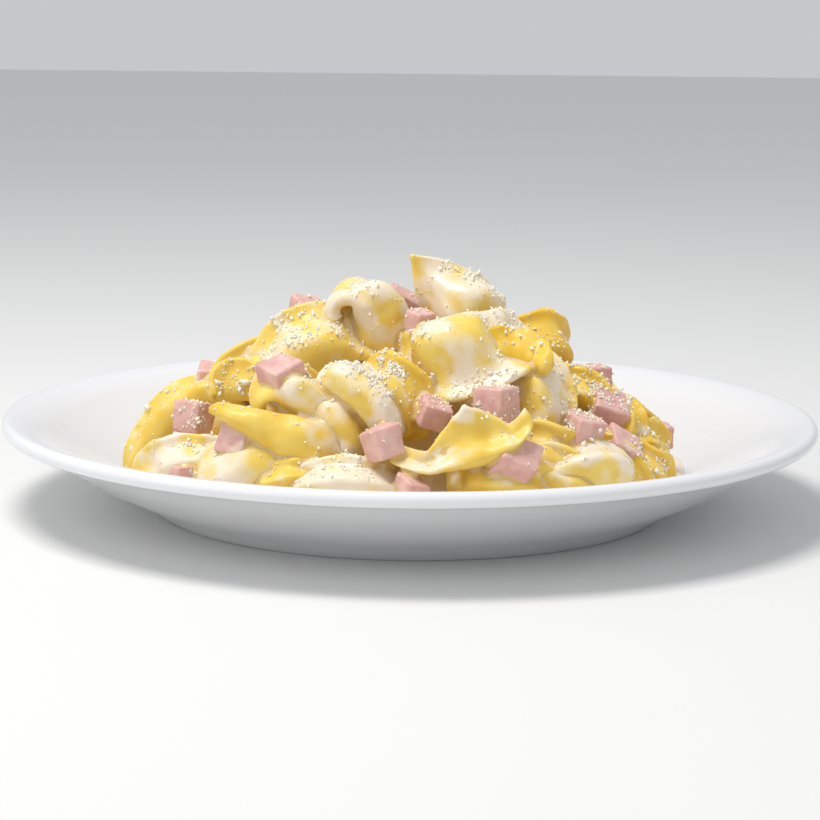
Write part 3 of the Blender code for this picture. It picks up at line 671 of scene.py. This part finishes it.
def tortellino_mesh(name, shape, matrix, looks, food, seed, detail=1.0):
    """One tortellino in its place, rumpled by boiling and coated with cream.

    looks holds how much cream is on it and how yellow it is, and detail the share of the
    usual number of points.
    """
    stations, loop_points = round(food.stations * detail), round(food.loop_points * detail)
    points, caps = dough_surface({**SHAPE, **shape}, stations, loop_points)
    points = np.vstack([points.reshape(-1, 3), caps])
    mesh = mesh_of(name, points, dough_faces(stations, loop_points))
    rumple = food.rumple / MM
    shift = rumple * (bumps(points, 6.0, seed) + 0.5 * bumps(points, 2.6, seed + 1))
    set_coordinates(mesh, points + normals_of(mesh) * shift[:, None])
    mesh.transform(matrix)
    mesh.update()
    cover, egg = looks
    coat_mesh(mesh, cover - LESS_CREAM, egg, food.film / MM, seed)
    rest_on_plate(mesh)
    return mesh


def at(centre, turns, order):
    """Matrix that turns a piece by angles in degrees and moves it to a centre in millimetres."""
    turn = Euler([math.radians(a) for a in turns], order).to_matrix().to_4x4()
    return Matrix.Translation(Vector(centre) * MM) @ turn


def dice_mesh(name, side, seed, matrix):
    """Knife-cut dice of ham with softened edges and slightly uneven faces."""
    askew, edge, cuts = 0.06, 1.0 * MM, 5
    chance = np.random.default_rng(seed)
    made = bmesh.new()
    bmesh.ops.create_cube(made, size=side * MM)
    for corner in made.verts:
        corner.co += Vector(chance.uniform(-askew, askew, 3) * side * MM)
    bmesh.ops.bevel(made, geom=list(made.edges), offset=edge, segments=3, affect="EDGES", profile=0.6)
    bmesh.ops.subdivide_edges(made, edges=made.edges, cuts=cuts, use_grid_fill=True)
    mesh = bpy.data.meshes.new(name)
    made.to_mesh(mesh)
    made.free()
    points = coordinates(mesh)
    uneven = 0.22 * bumps(points, 3.0, seed) + 0.12 * bumps(points, 1.3, seed + 1)
    set_coordinates(mesh, points + normals_of(mesh) * uneven[:, None])
    mesh.transform(matrix)
    mesh.update()
    coat_mesh(mesh, cover=0.15, egg=0.35, film=0.25, seed=seed + 50)
    rest_on_plate(mesh)
    return mesh


def dome_size(dome, gain, angle):
    """Half sizes of a rounded heap at this angle: it gains some towards its back."""
    behind = float(ease(np.array(math.sin(angle)), -0.3, 0.6))
    return [half + more * behind for half, more in zip(dome, gain)]


def dome_point(angle, climb, size, base):
    """Point of a rounded heap, angle round from +X and climb up from the plate, both in radians."""
    spread = math.cos(climb) ** 0.8
    return Vector((size[0] * spread * math.cos(angle), size[1] * spread * math.sin(angle),
                   base + (size[2] - base) * math.sin(climb)))


def facing(normal, spin):
    """Turn that brings a piece's filled side round to the normal, then spins it about that normal."""
    return normal.to_track_quat("-Y", "Z").to_matrix().to_4x4() @ Matrix.Rotation(spin, 4, "Y")


def tree_of(mesh):
    """Tree for casting rays at a mesh."""
    return BVHTree.FromPolygons((coordinates(mesh) * MM).tolist(), triangles_of(mesh).tolist())


def within_outline(mesh, outline):
    """Whether every sampled point of a mesh lies behind the outline of the tree, seen from the front."""
    eye, every = Vector(CAMERA_PLACE), 17
    for point in (coordinates(mesh) * MM)[::every]:
        way = Vector(point) - eye
        if outline.ray_cast(eye, way.normalized())[0] is None:
            return False
    return True


def core_mesh():
    """Mound of pasta and cream inside the heap, under every piece that shows."""
    points = []
    for ring in range(CORE_RINGS):
        climb = ring / CORE_RINGS * math.pi / 2
        for j in range(CORE_SIDES):
            angle = 2 * math.pi * j / CORE_SIDES
            size = dome_size(CORE_DOME, CORE_GAIN, angle)
            points.append(tuple(dome_point(angle, climb, size, CORE_BASE)))
    faces = band_faces(CORE_RINGS, CORE_SIDES)
    faces.append(tuple(range((CORE_RINGS - 1) * CORE_SIDES, CORE_RINGS * CORE_SIDES)))
    faces.append(tuple(reversed(range(CORE_SIDES))))
    return mesh_of("core", points, faces)


def pool_mesh():
    """Cream in the well, with a wandering edge that runs out thin up the slope."""
    around = 2 * math.pi * np.arange(POOL_SIDES) / POOL_SIDES
    edge = (POOL_RADIUS + 2.2 * np.sin(3 * around + 0.6) + 1.5 * np.sin(7 * around)
            + 3.5 * np.cos(around))
    points = []
    for share, height in POOL_SECTION:
        for angle, radius in zip(around, edge * share):
            on_slope = height > 8 and share > 0.95
            rise = max(0.0, radius - POOL_SLOPE_FROM) * POOL_SLOPE if on_slope else 0.0
            points.append((radius * math.cos(angle), radius * math.sin(angle), height + rise))
    faces = [(a, d, c, b) for a, b, c, d in band_faces(len(POOL_SECTION), POOL_SIDES)]
    faces.append(tuple(range(POOL_SIDES)))
    faces.append(tuple(reversed(range(len(points) - POOL_SIDES, len(points)))))
    return mesh_of("pool", points, faces)


def rear_place(chance, row, place):
    """Point of the heap's back for one piece of a row, and the direction out of the heap there."""
    climb, count, first, last, _ = row
    jitter = chance.uniform(-REAR_JITTER, REAR_JITTER)
    angle = math.radians(first + (last - first) * (place + 0.5) / count + jitter)
    steep = math.radians(climb + chance.uniform(-REAR_JITTER, REAR_JITTER))
    size, nearby = dome_size(REAR_DOME, REAR_GAIN, angle), 0.02

    def point(turned, climbed):
        return dome_point(angle + turned, steep + climbed, size, REAR_BASE)

    upwards = point(0, nearby) - point(0, -nearby)
    normal = upwards.cross(point(-nearby, 0) - point(nearby, 0)).normalized()
    if normal.z < 0:
        normal.negate()
    return point(0, 0), normal


def crumb_radius(chance, width):
    """Half the width of one crumb, in millimetres, for crumbs usually this wide."""
    return width / MM * math.exp(chance.normal(0, CRUMB_SPREAD)) / 2


def uneven_crumb(chance):
    """Corners of one crumb about 1 mm in radius."""
    return CRUMB_CORNERS * (1 + chance.uniform(-CRUMB_UNEVEN, CRUMB_UNEVEN, (len(CRUMB_CORNERS), 1)))


def cheese_weight(middle, area, normals):
    """How likely cheese is on each triangle, from its middle, its area and the way it faces."""
    weight = 0.08 * ease(bumps(middle, 9.0, 801), 0.0, 0.6) + 0.015
    for centre, radius, strength in CHEESE_HEAPS:
        away = np.linalg.norm(middle - np.array(centre), axis=1)
        weight += strength * np.exp(-(away / radius) ** 2) * ease(bumps(middle, 2.6, 802), -0.5, 0.5)
    weight += 0.35 * ease(bumps(middle, 11.0, 803), 0.25, 0.7) * (middle[:, 1] > 5)
    weight *= area * ease(normals[:, 2], -0.35, 0.6) * (middle[:, 2] > CHEESE_FLOOR)
    return weight


def fallen_crumbs(chance, ground, count, width):
    """Crumbs that fell on the ground mesh, each as its corners; none lies under an overhang."""
    corners, points = triangles_of(ground), coordinates(ground)
    a, b, c = (points[corners[:, k]] for k in range(3))
    cross = np.cross(b - a, c - a)
    area = np.linalg.norm(cross, axis=1) / 2
    normals = cross / np.maximum(2 * area, 1e-9)[:, None]
    weight = cheese_weight((a + b + c) / 3, area, normals)
    tree, sky = tree_of(ground), Vector((0.05, -0.35, 1)).normalized()
    clear, overhang, above = 0.4, 9 * MM, 0.45
    crumbs = []
    for index in chance.choice(len(weight), count, p=weight / weight.sum()):
        r1, r2 = math.sqrt(chance.uniform()), chance.uniform()
        spot = (1 - r1) * a[index] + r1 * (1 - r2) * b[index] + r1 * r2 * c[index]
        size = crumb_radius(chance, width)
        stretch = np.array([1 + chance.uniform(0, 0.9), 1.0, chance.uniform(0.5, 0.9)])
        turn = np.array(Euler(chance.uniform(0, 2 * math.pi, 3)).to_matrix())
        rough = uneven_crumb(chance)
        if tree.ray_cast(Vector((spot + normals[index] * clear) * MM), sky, overhang)[0] is None:
            crumbs.append((rough * stretch * size) @ turn.T + spot + normals[index] * size * above)
    return crumbs


def crumbs_on_plate(chance, count, width):
    """Fine crumbs on the plate beside the heap, each as its corners."""
    crumbs = []
    for _ in range(count):
        spot = np.append(np.array(DUST_CENTRE) + chance.normal(0, 1, 2) * DUST_SPREAD, 0.0)
        size = crumb_radius(chance, width)
        spot[2] = plate_height(spot[None])[0] + size
        crumbs.append(uneven_crumb(chance) * size + spot)
    return crumbs


class TORTELLINI_OT_plate(bpy.types.Operator):
    """Turn the plate and glaze it"""

    bl_idname = "tortellini.plate"
    bl_label = "Plate"

    def execute(self, context):
        settings = context.scene.tortellini_plate
        radius, height, lip = PLATE_LIP
        lip_angles = [math.radians(a) for a in range(-80, 111, 15)]
        rim = [(radius + lip * math.cos(a), height + lip * math.sin(a)) for a in lip_angles]
        outline = PLATE_UNDER + rim + PLATE_INSIDE
        made = bmesh.new()
        ring = [made.verts.new((r * MM, 0, z * MM)) for r, z in outline]
        edges = [made.edges.new(pair) for pair in zip(ring, ring[1:])]
        bmesh.ops.spin(made, geom=ring + edges, cent=(0, 0, 0), axis=(0, 0, 1), angle=2 * math.pi,
                       steps=settings.segments, use_merge=True)
        bmesh.ops.remove_doubles(made, verts=made.verts, dist=1e-7)
        bmesh.ops.recalc_face_normals(made, faces=made.faces)
        mesh = bpy.data.meshes.new("china_plate")
        made.to_mesh(mesh)
        made.free()
        add_piece("china_plate", mesh, glazed_china(settings), "porcelain", "plate")
        return {"FINISHED"}


class TORTELLINI_OT_pasta(bpy.types.Operator):
    """Fold and place each tortellino of the heap's front and top"""

    bl_idname = "tortellini.pasta"
    bl_label = "Tortellini"

    def execute(self, context):
        food = context.scene.tortellini_food
        dough = ready_material(boiled_dough, food)
        for number, (name, centre, (roll, turn, tip), looks, shape) in enumerate(TORTELLINI):
            matrix = at(centre, (-tip, roll, turn), "ZXY")
            mesh = tortellino_mesh("pasta_" + name, shape, matrix, looks, food, 100 + 10 * number)
            add_piece("pasta_" + name, mesh, dough, "pasta", "tortellino_" + name)
        return {"FINISHED"}


class TORTELLINI_OT_ham(bpy.types.Operator):
    """Cut and place the dice of ham"""

    bl_idname = "tortellini.ham"
    bl_label = "Ham"

    def execute(self, context):
        food = context.scene.tortellini_food
        finish = ready_material(cooked_ham, food)
        for number, centre, turns, side in HAM:
            name = f"ham_dice_{number:02d}"
            mesh = dice_mesh(name, side, number, at(centre, turns, "XYZ"))
            add_piece(name, mesh, finish, "ham", f"ham_cube_{number:02d}")
        return {"FINISHED"}


class TORTELLINI_OT_rear(bpy.types.Operator):
    """Fill the back of the heap with more tortellini and ham"""

    bl_idname = "tortellini.rear"
    bl_label = "Back of the heap"

    def execute(self, context):
        food = context.scene.tortellini_food
        chance = np.random.default_rng(food.rear_seed)
        outline = tree_of(joined("front", food_meshes("pasta_", "ham_") + [core_mesh()]))
        pasta, ham = [], []
        for row in REAR_ROWS:
            of_ham = row[-1] == "ham"
            for place in range(row[1]):
                point, normal = rear_place(chance, row, place)
                turns, side = chance.uniform(-40, 40, 3), chance.uniform(8.5, 10.5)
                shape = {"length": chance.uniform(38, 48), "width": chance.uniform(18, 24),
                         "point": chance.uniform(0, 0.5), "wrap": chance.uniform(0.4, 0.95),
                         "flare": chance.uniform(0, 20), "curl": chance.uniform(15, 50),
                         "plump": chance.uniform(6.5, 8)}
                spin = chance.uniform(-math.pi, math.pi)
                looks = (chance.uniform(0.35, 0.65), chance.uniform(0.2, 0.6))
                # Pushed in until nothing of it stands out beyond the pieces in front.
                for depth in REAR_DEPTHS:
                    centre = point - normal * depth
                    if of_ham:
                        matrix = at(centre + normal * REAR_DICE_OUT, turns, "XYZ")
                        mesh = dice_mesh("dice", side, 40 + place, matrix)
                    else:
                        matrix = Matrix.Translation(centre * MM) @ facing(normal, spin)
                        mesh = tortellino_mesh("back", shape, matrix, looks, food,
                                               600 + 10 * len(pasta), REAR_DETAIL)
                    if within_outline(mesh, outline):
                        (ham if of_ham else pasta).append(mesh)
                        break
        add_piece("pasta_back", joined("pasta_back", pasta), ready_material(boiled_dough, food), "pasta",
                  "heap_core")
        add_piece("ham_back", joined("ham_back", ham), ready_material(cooked_ham, food), "ham", "heap_core")
        return {"FINISHED"}


class TORTELLINI_OT_sauce(bpy.types.Operator):
    """Pour the cream that fills the gaps and pools in the well"""

    bl_idname = "tortellini.sauce"
    bl_label = "Cream"

    def execute(self, context):
        food = context.scene.tortellini_food
        pieces = food_meshes("pasta_", "ham_")
        if not pieces:
            raise RuntimeError("the cream lies between the pasta and the ham, so it is poured after them")
        whole = joined("gathered", pieces + [core_mesh(), pool_mesh()])
        sauce = after_modifiers("cream_between", whole,
                                ("REMESH", {"mode": "VOXEL", "voxel_size": food.sauce_grain}),
                                ("SMOOTH", {"factor": 0.5, "iterations": 5}))
        points, normals = coordinates(sauce), normals_of(sauce)
        # It lies a little under the skin of the pieces, except where it bridges them.
        swell = -0.3 + 0.12 * bumps(points, 4.0, 901)
        set_coordinates(sauce, points + normals * swell[:, None])
        cream = (0.12 + 0.25 * normals[:, 2] + 0.35 * bumps(points, 8.0, 902)
                 + 0.2 * bumps(points, 3.0, 903))
        # All cream where it lies in the well, from 16 mm up down to 11.
        low = ease(-points[:, 2], -16.0, -11.0)
        set_attribute(sauce, "cream", np.clip(np.maximum(cream, low), 0, 1))
        set_attribute(sauce, "egg", 0.15 + 0.3 * bumps(points, 6.0, 904))
        add_piece("cream_between", sauce, ready_material(thick_cream, food), "cream",
                  "cream_sauce", "heap_core")
        return {"FINISHED"}


class TORTELLINI_OT_cheese(bpy.types.Operator):
    """Scatter the grated cheese over what faces up"""

    bl_idname = "tortellini.cheese"
    bl_label = "Grated cheese"

    def execute(self, context):
        food = context.scene.tortellini_food
        chance = np.random.default_rng(77)
        ground = joined("ground", food_meshes("pasta_", "ham_", "cream_between"))
        crumbs = fallen_crumbs(chance, ground, food.crumbs, food.crumb)
        crumbs += crumbs_on_plate(chance, food.crumbs // 50, DUST_WIDTH * food.crumb)
        faces = [CRUMB_FACES + number * len(CRUMB_CORNERS) for number in range(len(crumbs))]
        mesh = mesh_of("grated_cheese", np.vstack(crumbs), np.vstack(faces).tolist())
        add_piece("grated_cheese", mesh, ready_material(grated_cheese, food), "cream")
        return {"FINISHED"}


class TORTELLINI_OT_stage(bpy.types.Operator):
    """Set up the floor, the light and the camera"""

    bl_idname = "tortellini.stage"
    bl_label = "Floor, light and camera"

    def execute(self, context):
        stage = context.scene.tortellini_stage
        material, _, shader, _ = new_material("painted_board")
        # Matt paint on board: an even pale ground.
        set_shader(shader, Base_Color=(*stage.floor, 1), Roughness=0.8)
        corners = [(x * FLOOR_REACH, y * FLOOR_REACH, 0) for x, y in ((-1, -1), (1, -1), (1, 1), (-1, 1))]
        mesh = mesh_of("floor", corners, [(0, 1, 2, 3)])
        mesh.materials.append(material)
        floor = bpy.data.objects.new("floor", mesh)
        bpy.context.collection.objects.link(floor)
        for name, place, size, share in LAMPS:
            lamp = bpy.data.lights.new(name, "AREA")
            lamp.energy, lamp.size = stage.key * share, size
            lamp.color = linear("#fffefc")
            holder = bpy.data.objects.new(name, lamp)
            bpy.context.collection.objects.link(holder)
            holder.location = place
            aim = Vector(LAMP_AIM) - holder.location
            holder.rotation_euler = aim.to_track_quat("-Z", "Y").to_euler()
        world = bpy.data.worlds.new("room")
        world.use_nodes = True
        sky = world.node_tree.nodes["Background"]
        sky.inputs["Color"].default_value = (*linear("#f4f6fa"), 1)
        sky.inputs["Strength"].default_value = stage.fill
        context.scene.world = world
        view = bpy.data.cameras.new("camera")
        view.lens, view.sensor_width = CAMERA_LENS, 36
        view.clip_start, view.clip_end = 0.01, 20
        camera = bpy.data.objects.new("camera", view)
        bpy.context.collection.objects.link(camera)
        camera.location = CAMERA_PLACE
        camera.rotation_euler = [math.radians(a) for a in CAMERA_TURNS]
        context.scene.camera = camera
        # Plain sRGB view, so that the yellows keep their own colour.
        context.scene.view_settings.view_transform = "Standard"
        return {"FINISHED"}


OPERATORS = [TORTELLINI_OT_plate, TORTELLINI_OT_pasta, TORTELLINI_OT_ham, TORTELLINI_OT_rear,
             TORTELLINI_OT_sauce, TORTELLINI_OT_cheese, TORTELLINI_OT_stage]
SETTINGS = {"tortellini_plate": PlateSettings, "tortellini_food": FoodSettings,
            "tortellini_stage": StageSettings}


class TORTELLINI_PT_panel(bpy.types.Panel):
    """Steps and settings, in the order they are used"""

    bl_label = "Tortellini"
    bl_idname = "TORTELLINI_PT_panel"
    bl_space_type = "VIEW_3D"
    bl_region_type = "UI"
    bl_category = "Tortellini"

    def draw(self, context):
        for name, group in SETTINGS.items():
            box = self.layout.box()
            for setting in group.__annotations__:
                box.prop(getattr(context.scene, name), setting)
        for operator in OPERATORS:
            self.layout.operator(operator.bl_idname)


def register():
    for group in SETTINGS.values():
        bpy.utils.register_class(group)
    for operator in OPERATORS:
        bpy.utils.register_class(operator)
    bpy.utils.register_class(TORTELLINI_PT_panel)
    for name, group in SETTINGS.items():
        setattr(bpy.types.Scene, name, PointerProperty(type=group))


def unregister():
    for name in SETTINGS:
        delattr(bpy.types.Scene, name)
    bpy.utils.unregister_class(TORTELLINI_PT_panel)
    for group in [*reversed(OPERATORS), *reversed(SETTINGS.values())]:
        bpy.utils.unregister_class(group)


def main():
    register()
    bpy.ops.tortellini.plate()
    bpy.ops.tortellini.pasta()
    bpy.ops.tortellini.ham()
    bpy.ops.tortellini.rear()
    bpy.ops.tortellini.sauce()
    bpy.ops.tortellini.cheese()
    bpy.ops.tortellini.stage()


if __name__ == "__main__":
    main()
